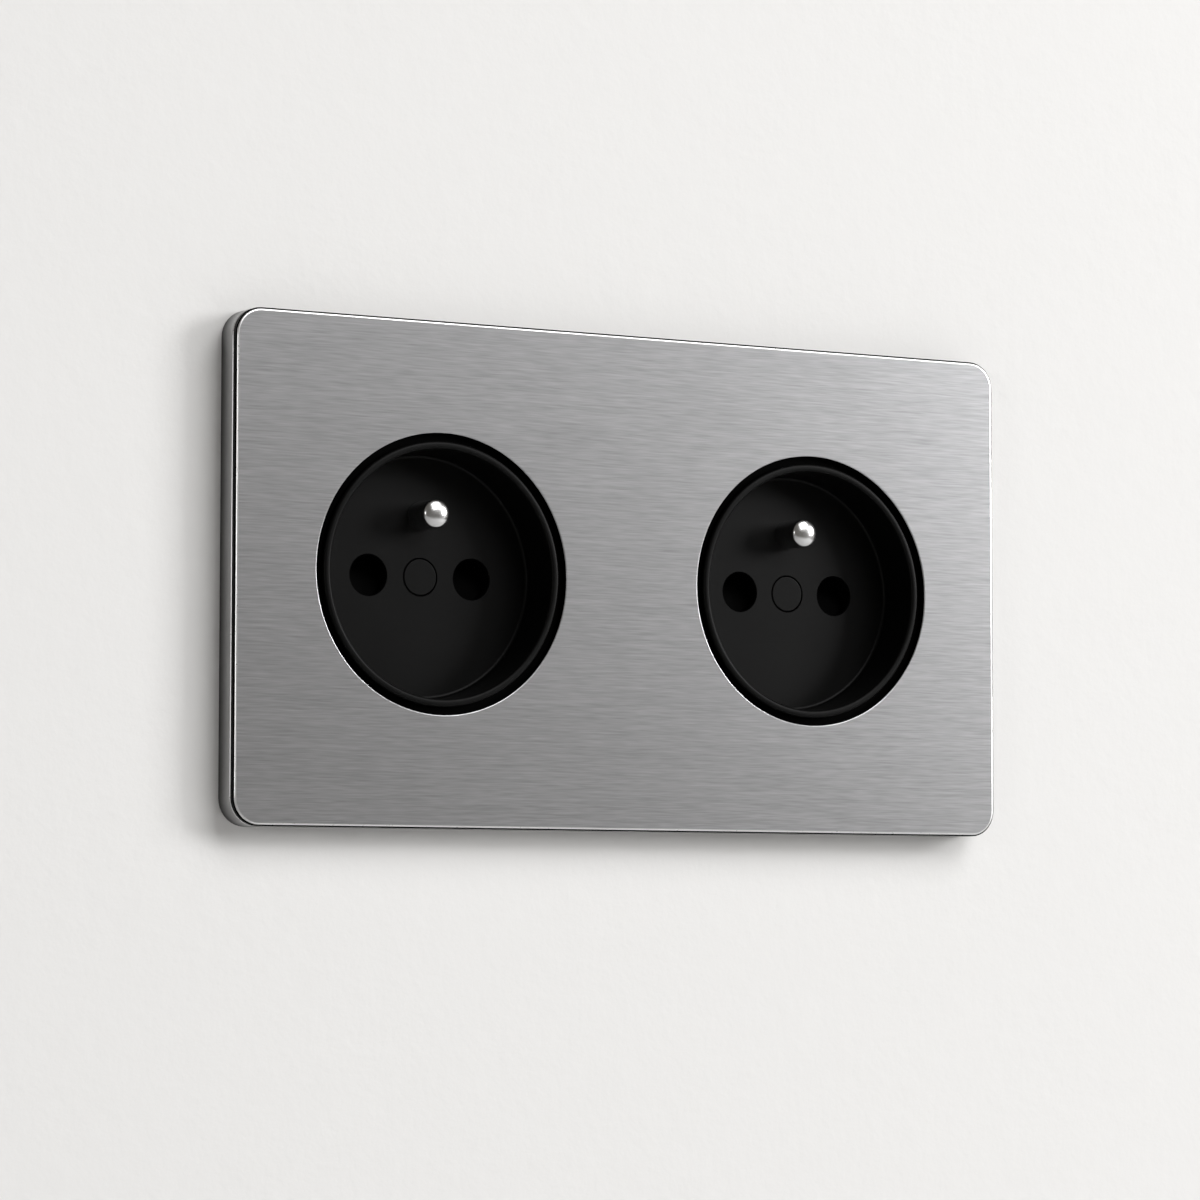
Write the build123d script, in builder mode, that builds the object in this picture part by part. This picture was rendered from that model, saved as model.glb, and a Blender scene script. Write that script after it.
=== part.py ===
from build123d import *
import os

# Double wall socket for round two-pole plugs, with a fixed earth pin in each well.
# X runs across the plate, Z up it, and Y into the wall. The wall's surface is Y = 0, midway
# between the two sockets. Heights are measured out of the wall, so a height h lies at Y = -h.
# All sizes are in millimetres.

# Wall box screws, 60 mm apart, and the mounting straps that they hold
fixing_pitch = 60.0
fixing_slot_length = 6.0
fixing_slot_width = 3.6
strap_margin = 5.5
strap_gap = 0.3
strap_thickness = 1.2
strap_corner = 2.5
strap_hole_gap = 0.6
strap_room = 0.45
wall_clearance = 0.1

# Plug that the sockets take
line_pitch = 19.0
line_hole_radius = 3.3
earth_offset = 10.0
plug_pin_radius = 2.4
plug_pin_reach = 19.0

# Face plate
plate_corner = 4.5
plate_thickness = 1.1
plate_bevel = 0.35
plate_projection = 5.5
plate_hole_bevel = 0.2

# Black groove between plate and surround
groove_width = 0.75
groove_depth = 0.8

# Metal surround against the wall
surround_wall = 1.5
surround_edge = 0.25
ledge_width = 2.0
ledge_thickness = 0.9

# Moulded carrier behind the plate
carrier_fit = 0.15
carrier_rim_wall = 1.2
collar_wall = 1.2
collar_gap = 0.3

# Snap legs of the carrier and the strap flanges that they catch in
leg_width = 5.0
leg_thickness = 1.3
leg_offset = 12.0
leg_room = 0.75
leg_end = 0.55
barb_reach = 0.75
barb_height = 0.8
barb_gap = 0.1
barb_room = 0.4
window_margin = 0.5
flange_gap = 0.45
flange_rim = 0.5
flange_end = 2.0

# Moulded well
mouth_radius = 20.3
lip_width = 1.3
lip_round = 0.5
lip_gap = 1.3
well_taper = 0.3
floor_corner = 0.5
well_depth = 8.1
floor_thickness = 1.8
skirt_overlap = 1.6
skirt_wall = 1.2
skirt_gap = 0.2
skirt_thickness = 1.0
centre_boss_radius = 4.2

# Centre screw and the cap over it
cap_radius = 2.95
cap_gap = 0.12
cap_thickness = 0.9
centre_head_radius = 2.5
centre_head_height = 1.8
centre_head_depth = 3.2
centre_shank_radius = 1.3
centre_screw_length = 8.2

# Room round screws
screw_clearance = 0.05
through_clearance = 0.15
head_clearance = 0.25
screw_backoff = 0.3
screw_slot_width = 0.6
screw_slot_depth = 0.7

# Shutter and its rails
shutter_room = 3.6
shutter_clearance = 0.15
shutter_travel = 6.8
shutter_bar_height = 5.0
shutter_stop_gap = 0.2
shutter_corner = 1.0
boss_gap = 1.0
window_size = 5.8
window_rim = 1.2
ramp_width = 6.6
ramp_depth = 2.6
rail_wall = 1.4
rail_gap = 0.15
rail_reach = 4.0

# Shutter spring, its spigots and its seat
spring_radius = 1.35
spring_wire_radius = 0.2
spring_wire_sides = 8
closed_spring = 3.2
spring_turns = 5
spigot_radius = 0.8
spigot_length = 1.2
seat_wall = 1.2
seat_width = 6.0

# Contact base
cup_wall = 1.7
cup_fit = 0.3
deck_thickness = 1.6
body_side = 3.8
body_corner = 3.0
body_wall = 2.1
body_edge = 0.6
deck_hole_radius = 3.4
clip_room = 0.6
pocket_end_room = 0.9
pocket_gap = 0.2
core_side = 1.8
core_wall = 1.2

# Screws that hold the base to the strap, and the ears that they turn into
base_screw_radius = 1.45
base_screw_head_radius = 2.4
base_screw_head_height = 1.0
base_screw_reach = 6.0
ear_count = 4
ear_angle = 45.0
ear_radius = 3.2
ear_gap = 0.7
ear_floor = 1.0

# Contacts and earth bridge, bent from strip
strip_thickness = 0.8
strip_width = 7.0
pin_end_gap = 1.0
grip_squeeze = 0.3
grip_height = 4.0
mouth_ease = 1.6
root_ease = 1.8
clip_mouth_drop = 0.7

# Earth pin
earth_pin_radius = 2.4
earth_pin_height = 6.4
pin_step = 0.3
pin_hole_gap = 0.1
pin_shank_radius = 1.8
rivet_radius = 2.6
rivet_height = 0.8
rivet_room = 0.8

# Terminals
terminal_width = 7.6
terminal_depth = 9.0
terminal_room = 0.8
wire_hole_radius = 1.6
wire_hole_depth = 7.0
wire_entry_gap = 0.4
terminal_screw_radius = 1.3
terminal_screw_head_radius = 2.2
terminal_screw_head_height = 1.6
terminal_screw_place = 3.5

# Rear cover
cover_thickness = 1.8
cover_wire_gap = 0.8
cover_screw_radius = 1.1
cover_screw_head_radius = 2.0
cover_screw_head_height = 1.0
cover_screw_reach = 8.0
cover_screw_inset = 2.7
cover_screw_drop = 6.5

# Outlines that follow: the straps from the box screws, and the plate from the straps
socket_pitch = fixing_pitch + 2 * strap_margin
strap_height = fixing_pitch + 2 * strap_margin
strap_width = socket_pitch - strap_gap
plate_width = socket_pitch + strap_width + 2 * (strap_room + surround_wall)
leg_space = carrier_fit + leg_thickness + leg_room
plate_height = strap_height + 2 * (leg_space + ledge_width + surround_wall)
opening_width = plate_width - 2 * (surround_wall + ledge_width)
opening_height = plate_height - 2 * (surround_wall + ledge_width)

# Circles round each socket that follow, from the inside out
floor_radius = mouth_radius - well_taper
lip_outer_radius = mouth_radius + lip_width
strap_hole_radius = lip_outer_radius + strap_hole_gap
cup_inner_radius = lip_outer_radius + cup_fit
cup_radius = cup_inner_radius + cup_wall
plate_hole_radius = lip_outer_radius + lip_gap
skirt_radius = plate_hole_radius + skirt_overlap
collar_radius = skirt_radius + collar_gap
ear_circle = skirt_radius + base_screw_head_radius + ear_gap
ear_root_circle = (cup_inner_radius + ear_circle) / 2
pin_neck_radius = earth_pin_radius + pin_step
pin_shoulder_radius = pin_neck_radius + pin_step

# Heights that follow
strap_back = wall_clearance
strap_front = strap_back + strap_thickness
plate_front = plate_projection
plate_back = plate_front - plate_thickness
surround_front = plate_back - groove_width
ledge_back = surround_front - ledge_thickness
flange_height = surround_front - flange_gap
window_top = flange_height - flange_rim
barb_top = window_top - barb_gap
window_base = barb_top - barb_height - barb_room
leg_tip = window_base - leg_end
rim_back = strap_front + base_screw_head_height + head_clearance
skirt_front = plate_back - skirt_gap
floor_front = plate_front - well_depth
floor_back = floor_front - floor_thickness
deck_front = floor_back - shutter_room
deck_back = deck_front - deck_thickness
strip_front = floor_front - plug_pin_reach - pin_end_gap
body_back = strip_front - strip_thickness
cover_back = body_back - cover_thickness
shutter_front = floor_back - shutter_clearance
shutter_back = deck_front + shutter_clearance
spring_height = (floor_back + deck_front) / 2
rivet_front = deck_back - strip_thickness
screw_height = strip_front + terminal_screw_place

# Shutter's outline that follows
line_x = line_pitch / 2
slot_half_width = centre_boss_radius + boss_gap
shutter_half_width = line_pitch - slot_half_width
bar_top = -centre_boss_radius - shutter_stop_gap
bar_bottom = bar_top - shutter_bar_height
leg_top = shutter_travel + window_size / 2 + window_rim
rail_x = shutter_half_width + rail_gap + rail_wall / 2
rail_bottom = bar_bottom - rail_reach
spring_length = shutter_travel + closed_spring
spring_seat_z = bar_bottom - spring_length

# Contacts, pockets and terminals that follow
grip_gap = 2 * plug_pin_radius - grip_squeeze
mouth_gap = 2 * plug_pin_radius + mouth_ease
clip_gap = 2 * plug_pin_radius + root_ease
pocket_width = clip_gap + 2 * (strip_thickness + clip_room)
earth_pocket_width = terminal_width + 2 * terminal_room
core_width = 2 * line_x - pocket_width - 2 * core_side
body_width = 2 * line_x + pocket_width + 2 * body_side
pocket_top = strip_width / 2 + pocket_end_room
pocket_ceiling = earth_offset + rivet_radius + rivet_room
pocket_floor = -pocket_ceiling
body_height = 2 * (pocket_ceiling + body_wall)
bridge_z = earth_offset - rivet_radius - rivet_room - strip_thickness
bridge_top = pocket_ceiling - pocket_gap
earth_pocket_bottom = bridge_z - pocket_gap
terminal_z = pocket_floor + pocket_gap + terminal_width / 2
earth_terminal_height = bridge_top - bridge_z - strip_thickness
earth_terminal_z = bridge_z + strip_thickness + earth_terminal_height / 2
cover_screw_x = body_width / 2 - cover_screw_inset
cover_screw_z = body_height / 2 - cover_screw_drop

socket_centres = {"left": -socket_pitch / 2, "right": socket_pitch / 2}


def level(height, x=0.0):
    """A plane parallel to the wall at this height out of it, facing the room."""
    return Plane(origin=(x, -height, 0), x_dir=(1, 0, 0), z_dir=(0, -1, 0))


def cross_section(x, z=0.0):
    """A level cut through the wall: across is X, up is the height out of the wall."""
    return Plane(origin=(x, 0, z), x_dir=(1, 0, 0), z_dir=(0, 0, -1))


def side_section(x):
    """An upright cut through the wall: across is Z, up is the height out of the wall."""
    return Plane(origin=(x, 0, 0), x_dir=(0, 0, 1), z_dir=(1, 0, 0))


def storey(x, height, z):
    """A plane facing up, for what stands along Z."""
    return Plane(origin=(x, -height, z), x_dir=(1, 0, 0), z_dir=(0, 0, 1))


os.makedirs("parts", exist_ok=True)

# Face plate: steel sheet with two round holes and bevelled edges
with BuildPart() as face_plate:
    with BuildSketch(level(plate_back)):
        RectangleRounded(plate_width, plate_height, plate_corner)
        with Locations(*[(x, 0) for x in socket_centres.values()]):
            Circle(plate_hole_radius, mode=Mode.SUBTRACT)
    extrude(amount=plate_thickness)
    front = face_plate.faces().sort_by(Axis.Y)[0]
    chamfer(front.outer_wire().edges(), length=plate_bevel)
    front = face_plate.faces().sort_by(Axis.Y)[0]
    chamfer([wire.edges() for wire in front.inner_wires()], length=plate_hole_bevel)
face_plate.part.label = "face_plate"
export_step(face_plate.part, "parts/face_plate.step")

# Surround: metal frame on the wall, with a ledge inside its front edge
with BuildPart() as surround:
    with BuildSketch(level(0)):
        RectangleRounded(plate_width, plate_height, plate_corner)
    extrude(amount=surround_front)
    with BuildSketch(level(0)):
        RectangleRounded(
            plate_width - 2 * surround_wall,
            plate_height - 2 * surround_wall,
            plate_corner - surround_wall,
        )
    extrude(amount=ledge_back, mode=Mode.SUBTRACT)
    with BuildSketch(level(0)):
        RectangleRounded(opening_width, opening_height, plate_corner - surround_wall)
    extrude(amount=surround_front, mode=Mode.SUBTRACT)
    front = surround.faces().sort_by(Axis.Y)[0]
    chamfer(front.outer_wire().edges(), length=surround_edge)
surround.part.label = "surround"
export_step(surround.part, "parts/surround.step")

# Carrier: moulded web bonded to the plate, with a rim inside the ledge and snap legs
rim_width = opening_width - 2 * carrier_fit
rim_height = opening_height - 2 * carrier_fit
leg_z = strap_height / 2 + carrier_fit + leg_thickness / 2
leg_places = [
    (x + across, up * leg_z)
    for x in socket_centres.values()
    for across in (-leg_offset, leg_offset)
    for up in (-1, 1)
]
with BuildPart() as carrier:
    with BuildSketch(level(surround_front)):
        RectangleRounded(
            plate_width - 2 * groove_depth,
            plate_height - 2 * groove_depth,
            plate_corner - groove_depth,
        )
        with Locations(*[(x, 0) for x in socket_centres.values()]):
            Circle(collar_radius, mode=Mode.SUBTRACT)
    extrude(amount=groove_width)
    with BuildSketch(level(rim_back)):
        RectangleRounded(rim_width, rim_height, plate_corner - surround_wall)
        RectangleRounded(
            rim_width - 2 * carrier_rim_wall,
            rim_height - 2 * carrier_rim_wall,
            plate_corner - surround_wall - carrier_rim_wall,
            mode=Mode.SUBTRACT,
        )
        with Locations(*[(x, 0) for x in socket_centres.values()]):
            Circle(collar_radius + collar_wall)
            Circle(collar_radius, mode=Mode.SUBTRACT)
    extrude(amount=surround_front - rim_back)
    with BuildSketch(level(leg_tip)):
        with Locations(*leg_places):
            Rectangle(leg_width, leg_thickness)
    extrude(amount=surround_front - leg_tip)
    for x, z in leg_places:
        inward = -1 if z > 0 else 1
        root = z + inward * leg_thickness / 2
        with BuildSketch(side_section(x)):
            with BuildLine():
                Polyline(
                    (root, barb_top),
                    (root + inward * barb_reach, barb_top),
                    (root, barb_top - barb_height),
                    close=True,
                )
            make_face()
        extrude(amount=leg_width / 2, both=True)
carrier.part.label = "carrier"
export_step(carrier.part, "parts/carrier.step")

flange_width = 2 * (leg_offset + leg_width / 2 + window_margin + flange_end)
window_cut = 2 * strap_thickness

for side, x in socket_centres.items():

    # Mounting strap: pressed steel sheet with slots for the box screws and two bent flanges
    with BuildPart() as strap:
        with BuildSketch(level(strap_back, x)):
            RectangleRounded(strap_width, strap_height, strap_corner)
        extrude(amount=strap_thickness)
        with BuildSketch(level(strap_back, x)):
            with Locations(*[(0, up * (strap_height - strap_thickness) / 2) for up in (-1, 1)]):
                Rectangle(flange_width, strap_thickness)
        extrude(amount=flange_height - strap_back)
        with BuildSketch(level(window_base, x)):
            with GridLocations(2 * leg_offset, strap_height - strap_thickness, 2, 2):
                Rectangle(leg_width + 2 * window_margin, window_cut)
        extrude(amount=window_top - window_base, mode=Mode.SUBTRACT)
        with BuildSketch(level(strap_back, x)):
            Circle(strap_hole_radius)
            with GridLocations(fixing_pitch, 0, 2, 1):
                SlotOverall(fixing_slot_length, fixing_slot_width)
            with GridLocations(0, fixing_pitch, 1, 2):
                SlotOverall(fixing_slot_length, fixing_slot_width, rotation=90)
            with PolarLocations(ear_circle, ear_count, start_angle=ear_angle):
                Circle(base_screw_radius + through_clearance)
        extrude(amount=strap_thickness, mode=Mode.SUBTRACT)
    strap.part.label = f"{side}_strap"
    export_step(strap.part, f"parts/{side}_strap.step")

    # Well: turned outline with a rounded lip, a skirt that stands on the strap, and a floor
    with BuildPart() as well:
        with BuildSketch(cross_section(x)):
            with BuildLine():
                Polyline(
                    (0, floor_back),
                    (lip_outer_radius, floor_back),
                    (lip_outer_radius, skirt_front - skirt_thickness),
                    (skirt_radius - skirt_wall, skirt_front - skirt_thickness),
                    (skirt_radius - skirt_wall, strap_front),
                    (skirt_radius, strap_front),
                    (skirt_radius, skirt_front),
                    (lip_outer_radius, skirt_front),
                    (lip_outer_radius, plate_front),
                    (mouth_radius, plate_front),
                    (floor_radius, floor_front),
                    (0, floor_front),
                    close=True,
                )
            make_face()
        revolve(axis=Axis((x, 0, 0), (0, -1, 0)))
        lip_edges = well.edges().filter_by(GeomType.CIRCLE).group_by(Axis.Y)[0]
        fillet(lip_edges, radius=lip_round)
        floor_edges = well.edges().filter_by(GeomType.CIRCLE).group_by(Axis.Y)[-2]
        fillet(floor_edges, radius=floor_corner)
        with BuildSketch(level(deck_front, x)):
            Circle(centre_boss_radius)
        extrude(amount=shutter_room)
        with BuildSketch(level(floor_back, x)):
            with GridLocations(line_pitch, 0, 2, 1):
                Circle(line_hole_radius)
            with Locations((0, earth_offset)):
                Circle(pin_neck_radius + pin_hole_gap)
        extrude(amount=floor_thickness, mode=Mode.SUBTRACT)
        with BuildSketch(level(floor_front, x)):
            Circle(cap_radius + cap_gap)
        extrude(amount=-cap_thickness, mode=Mode.SUBTRACT)
        with BuildSketch(level(floor_front, x)):
            Circle(centre_head_radius + head_clearance)
        extrude(amount=-centre_head_depth, mode=Mode.SUBTRACT)
        with BuildSketch(level(floor_front, x)):
            Circle(centre_shank_radius + screw_clearance)
        extrude(amount=-(floor_thickness + shutter_room), mode=Mode.SUBTRACT)
    well.part.label = f"{side}_well"
    export_step(well.part, f"parts/{side}_well.step")

    # Cap: moulded disc pressed over the centre screw, flush with the floor
    with BuildPart() as screw_cap:
        with BuildSketch(level(floor_front - cap_thickness, x)):
            Circle(cap_radius)
        extrude(amount=cap_thickness)
    screw_cap.part.label = f"{side}_screw_cap"
    export_step(screw_cap.part, f"parts/{side}_screw_cap.step")

    # Centre screw: holds the well to the base
    centre_head_seat = floor_front - centre_head_depth
    with BuildPart() as centre_screw:
        with BuildSketch(level(centre_head_seat, x)):
            Circle(centre_head_radius)
        extrude(amount=centre_head_height)
        with BuildSketch(level(centre_head_seat, x)):
            Circle(centre_shank_radius)
        extrude(amount=-centre_screw_length)
        with BuildSketch(level(centre_head_seat + centre_head_height, x)):
            Rectangle(2 * centre_head_radius, screw_slot_width)
            Rectangle(screw_slot_width, 2 * centre_head_radius)
        extrude(amount=-screw_slot_depth, mode=Mode.SUBTRACT)
    centre_screw.part.label = f"{side}_centre_screw"
    export_step(centre_screw.part, f"parts/{side}_centre_screw.step")

    # Earth pin: turned and plated, with a domed end, riveted to the earth bridge
    pin_straight = floor_front + earth_pin_height - earth_pin_radius
    with BuildPart() as earth_pin:
        with BuildSketch(cross_section(x, earth_offset)):
            with BuildLine():
                Polyline(
                    (0, pin_straight + earth_pin_radius),
                    (0, rivet_front - rivet_height),
                    (rivet_radius, rivet_front - rivet_height),
                    (rivet_radius, rivet_front),
                    (pin_shank_radius, rivet_front),
                    (pin_shank_radius, deck_front),
                    (pin_shoulder_radius, deck_front),
                    (pin_shoulder_radius, floor_back),
                    (pin_neck_radius, floor_back),
                    (pin_neck_radius, floor_front),
                    (earth_pin_radius, floor_front),
                    (earth_pin_radius, pin_straight),
                )
                CenterArc((0, pin_straight), earth_pin_radius, 0, 90)
            make_face()
        revolve(axis=Axis((x, 0, earth_offset), (0, -1, 0)))
    earth_pin.part.label = f"{side}_earth_pin"
    export_step(earth_pin.part, f"parts/{side}_earth_pin.step")

    # Shutter: forked slide whose ramps block both line holes until two pins press them together
    with BuildPart() as shutter:
        with BuildSketch(level(shutter_back, x)) as fork:
            with Locations((0, (bar_bottom + leg_top) / 2)):
                Rectangle(2 * shutter_half_width, leg_top - bar_bottom)
            with Locations((0, (bar_top + leg_top) / 2)):
                Rectangle(2 * slot_half_width, leg_top - bar_top, mode=Mode.SUBTRACT)
            fillet(fork.vertices(), radius=shutter_corner)
            with GridLocations(line_pitch, 0, 2, 1):
                with Locations((0, shutter_travel)):
                    RectangleRounded(window_size, window_size, shutter_corner, mode=Mode.SUBTRACT)
        extrude(amount=shutter_front - shutter_back)
        for across in (-line_x, line_x):
            with BuildSketch(side_section(x + across)):
                with BuildLine():
                    Polyline(
                        (-line_hole_radius, shutter_front),
                        (shutter_travel - window_size / 2, shutter_front),
                        (shutter_travel - window_size / 2, shutter_front - ramp_depth),
                        close=True,
                    )
                make_face()
            extrude(amount=ramp_width / 2, both=True, mode=Mode.SUBTRACT)
        with BuildSketch(storey(x, spring_height, bar_bottom)):
            Circle(spigot_radius)
        extrude(amount=-spigot_length)
    shutter.part.label = f"{side}_shutter"
    export_step(shutter.part, f"parts/{side}_shutter.step")

    # Shutter spring: coil of steel wire between the shutter's bar and the seat on the base.
    # The fine wire's round section is drawn with a few flat sides.
    coil_height = spring_length - 2 * spring_wire_radius
    with BuildPart() as shutter_spring:
        with BuildLine() as coil:
            Helix(
                pitch=coil_height / spring_turns,
                height=coil_height,
                radius=spring_radius,
                center=(x, -spring_height, spring_seat_z + spring_wire_radius),
            )
        with BuildSketch(Plane(origin=coil.line @ 0, z_dir=coil.line % 0)):
            RegularPolygon(spring_wire_radius, spring_wire_sides)
        sweep(is_frenet=True)
    shutter_spring.part.label = f"{side}_shutter_spring"
    export_step(shutter_spring.part, f"parts/{side}_shutter_spring.step")

    # Contact base: moulded cup behind the strap, with a deck, contact pockets and screw ears
    with BuildPart() as base:
        with BuildSketch(level(deck_back, x)):
            Circle(cup_radius)
        extrude(amount=strap_back - deck_back)
        ear_depth = base_screw_reach + ear_floor
        with BuildSketch(level(strap_back - ear_depth, x)):
            with PolarLocations(ear_circle, ear_count, start_angle=ear_angle):
                Circle(ear_radius)
            with PolarLocations(ear_root_circle, ear_count, start_angle=ear_angle):
                Rectangle(ear_circle - cup_inner_radius, 2 * ear_radius)
        extrude(amount=ear_depth)
        with BuildSketch(level(body_back, x)):
            RectangleRounded(body_width, body_height, body_corner)
        extrude(amount=deck_back - body_back)
        with BuildSketch(level(deck_front, x)):
            Circle(cup_inner_radius)
        extrude(amount=strap_back - deck_front, mode=Mode.SUBTRACT)
        with BuildSketch(level(body_back, x)):
            with Locations(*[(u, (pocket_floor + pocket_top) / 2) for u in (-line_x, line_x)]):
                Rectangle(pocket_width, pocket_top - pocket_floor)
            with Locations((0, (earth_pocket_bottom + pocket_ceiling) / 2)):
                Rectangle(earth_pocket_width, pocket_ceiling - earth_pocket_bottom)
        extrude(amount=deck_back - body_back, mode=Mode.SUBTRACT)
        core_top = -centre_boss_radius
        with BuildSketch(level(body_back, x)):
            with Locations((0, (pocket_floor + core_top) / 2)):
                Rectangle(core_width, core_top - pocket_floor)
        extrude(amount=deck_back - body_back - core_wall, mode=Mode.SUBTRACT)
        with BuildSketch(level(deck_back, x)):
            with GridLocations(line_pitch, 0, 2, 1):
                Circle(deck_hole_radius)
            with Locations((0, earth_offset)):
                Circle(pin_shank_radius + screw_clearance)
        extrude(amount=deck_thickness, mode=Mode.SUBTRACT)
        with BuildSketch(level(deck_front, x)):
            Circle(centre_shank_radius + screw_clearance)
        extrude(amount=-centre_screw_length, mode=Mode.SUBTRACT)
        with BuildSketch(level(strap_back, x)):
            with PolarLocations(ear_circle, ear_count, start_angle=ear_angle):
                Circle(base_screw_radius + screw_clearance)
        extrude(amount=-base_screw_reach, mode=Mode.SUBTRACT)
        with BuildSketch(level(body_back, x)):
            with Locations(*[(u * cover_screw_x, cover_screw_z) for u in (-1, 1)]):
                Circle(cover_screw_radius + screw_clearance)
        extrude(amount=cover_screw_reach, mode=Mode.SUBTRACT)
        for across, bottom in ((-line_x, True), (line_x, True), (0, False)):
            wall_z = -body_height / 2 if bottom else pocket_ceiling
            with BuildSketch(storey(x + across, screw_height, wall_z)):
                Circle(terminal_screw_head_radius + head_clearance)
            extrude(amount=body_wall, mode=Mode.SUBTRACT)
        with BuildSketch(level(deck_front, x)):
            with Locations(*[(u * rail_x, (leg_top + rail_bottom) / 2) for u in (-1, 1)]):
                Rectangle(rail_wall, leg_top - rail_bottom)
            with Locations((0, spring_seat_z - seat_wall / 2)):
                Rectangle(seat_width, seat_wall)
        extrude(amount=shutter_room - shutter_clearance)
        with BuildSketch(storey(x, spring_height, spring_seat_z)):
            Circle(spigot_radius)
        extrude(amount=spigot_length)
    base.part.label = f"{side}_contact_base"
    export_step(base.part, f"parts/{side}_contact_base.step")

    # Base screws: four pan heads through the strap into the ears
    with BuildPart() as base_screws:
        with BuildSketch(level(strap_front, x)):
            with PolarLocations(ear_circle, ear_count, start_angle=ear_angle):
                Circle(base_screw_head_radius)
        extrude(amount=base_screw_head_height)
        with BuildSketch(level(strap_front, x)):
            with PolarLocations(ear_circle, ear_count, start_angle=ear_angle):
                Circle(base_screw_radius)
        extrude(amount=-(base_screw_reach + strap_thickness - head_clearance))
        with BuildSketch(level(strap_front + base_screw_head_height, x)):
            with PolarLocations(ear_circle, ear_count, start_angle=ear_angle):
                Rectangle(2 * base_screw_head_radius, screw_slot_width)
        extrude(amount=-screw_slot_depth, mode=Mode.SUBTRACT)
    base_screws.part.label = f"{side}_base_screws"
    export_step(base_screws.part, f"parts/{side}_base_screws.step")

    # Line contacts: clips bent from strip, each with a tab that carries its terminal
    for pole, across in (("live", -line_x), ("neutral", line_x)):
        clip_mouth = deck_back - clip_mouth_drop
        with BuildPart() as contact:
            with BuildSketch(cross_section(x + across)):
                with BuildLine():
                    Polyline(
                        (0, body_back),
                        (clip_gap / 2 + strip_thickness, body_back),
                        (grip_gap / 2 + strip_thickness, clip_mouth - grip_height),
                        (mouth_gap / 2 + strip_thickness, clip_mouth),
                        (mouth_gap / 2, clip_mouth),
                        (grip_gap / 2, clip_mouth - grip_height),
                        (clip_gap / 2, strip_front),
                        (0, strip_front),
                        close=True,
                    )
                make_face()
                mirror(about=Plane.YZ)
            extrude(amount=strip_width / 2, both=True)
            tab_length = -strip_width / 2 - pocket_floor - pocket_gap
            with BuildSketch(level(body_back, x + across)):
                with Locations((0, -strip_width / 2 - tab_length / 2)):
                    Rectangle(strip_width, tab_length)
            extrude(amount=strip_thickness)
            with BuildSketch(level(body_back, x + across)):
                with Locations((0, terminal_z)):
                    Circle(wire_hole_radius + wire_entry_gap)
            extrude(amount=strip_thickness, mode=Mode.SUBTRACT)
        contact.part.label = f"{side}_{pole}_contact"
        export_step(contact.part, f"parts/{side}_{pole}_contact.step")

    # Earth bridge: strip bent from the pin's rivet round behind the earth terminal
    with BuildPart() as bridge:
        with BuildSketch(side_section(x)):
            with BuildLine():
                Polyline(
                    (bridge_z, deck_back),
                    (bridge_top, deck_back),
                    (bridge_top, rivet_front),
                    (bridge_z + strip_thickness, rivet_front),
                    (bridge_z + strip_thickness, strip_front),
                    (bridge_top, strip_front),
                    (bridge_top, body_back),
                    (bridge_z, body_back),
                    close=True,
                )
            make_face()
        extrude(amount=strip_width / 2, both=True)
        with BuildSketch(level(deck_back, x)):
            with Locations((0, earth_offset)):
                Circle(pin_shank_radius + screw_clearance)
        extrude(amount=-strip_thickness, mode=Mode.SUBTRACT)
        with BuildSketch(level(body_back, x)):
            with Locations((0, earth_terminal_z)):
                Circle(wire_hole_radius + wire_entry_gap)
        extrude(amount=strip_thickness, mode=Mode.SUBTRACT)
    bridge.part.label = f"{side}_earth_bridge"
    export_step(bridge.part, f"parts/{side}_earth_bridge.step")

    # Terminals: brass blocks with a wire hole from behind and a clamping screw from the side
    for pole, across, z, height, way in (
        ("live", -line_x, terminal_z, terminal_width, -1),
        ("neutral", line_x, terminal_z, terminal_width, -1),
        ("earth", 0, earth_terminal_z, earth_terminal_height, 1),
    ):
        with BuildPart() as terminal:
            with BuildSketch(level(strip_front, x + across)):
                with Locations((0, z)):
                    Rectangle(terminal_width, height)
            extrude(amount=terminal_depth)
            with BuildSketch(level(strip_front, x + across)):
                with Locations((0, z)):
                    Circle(wire_hole_radius)
            extrude(amount=wire_hole_depth, mode=Mode.SUBTRACT)
            with BuildSketch(storey(x + across, screw_height, z)):
                Circle(terminal_screw_radius + screw_clearance)
            extrude(amount=way * height / 2, mode=Mode.SUBTRACT)
        terminal.part.label = f"{side}_{pole}_terminal"
        export_step(terminal.part, f"parts/{side}_{pole}_terminal.step")

    # Terminal screws: one for each block, turned from the side of the base
    with BuildPart() as terminal_screws:
        for across, z, height, way in (
            (-line_x, terminal_z, terminal_width, -1),
            (line_x, terminal_z, terminal_width, -1),
            (0, earth_terminal_z, earth_terminal_height, 1),
        ):
            face_z = z + way * height / 2
            with BuildSketch(storey(x + across, screw_height, face_z)):
                Circle(terminal_screw_head_radius)
            extrude(amount=way * terminal_screw_head_height)
            with BuildSketch(storey(x + across, screw_height, face_z)):
                Circle(terminal_screw_radius)
            extrude(amount=-way * (height / 2 - wire_hole_radius - screw_backoff))
            with BuildSketch(
                storey(x + across, screw_height, face_z + way * terminal_screw_head_height)
            ):
                Rectangle(2 * terminal_screw_head_radius, screw_slot_width)
            extrude(amount=-way * screw_slot_depth, mode=Mode.SUBTRACT)
    terminal_screws.part.label = f"{side}_terminal_screws"
    export_step(terminal_screws.part, f"parts/{side}_terminal_screws.step")

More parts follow.
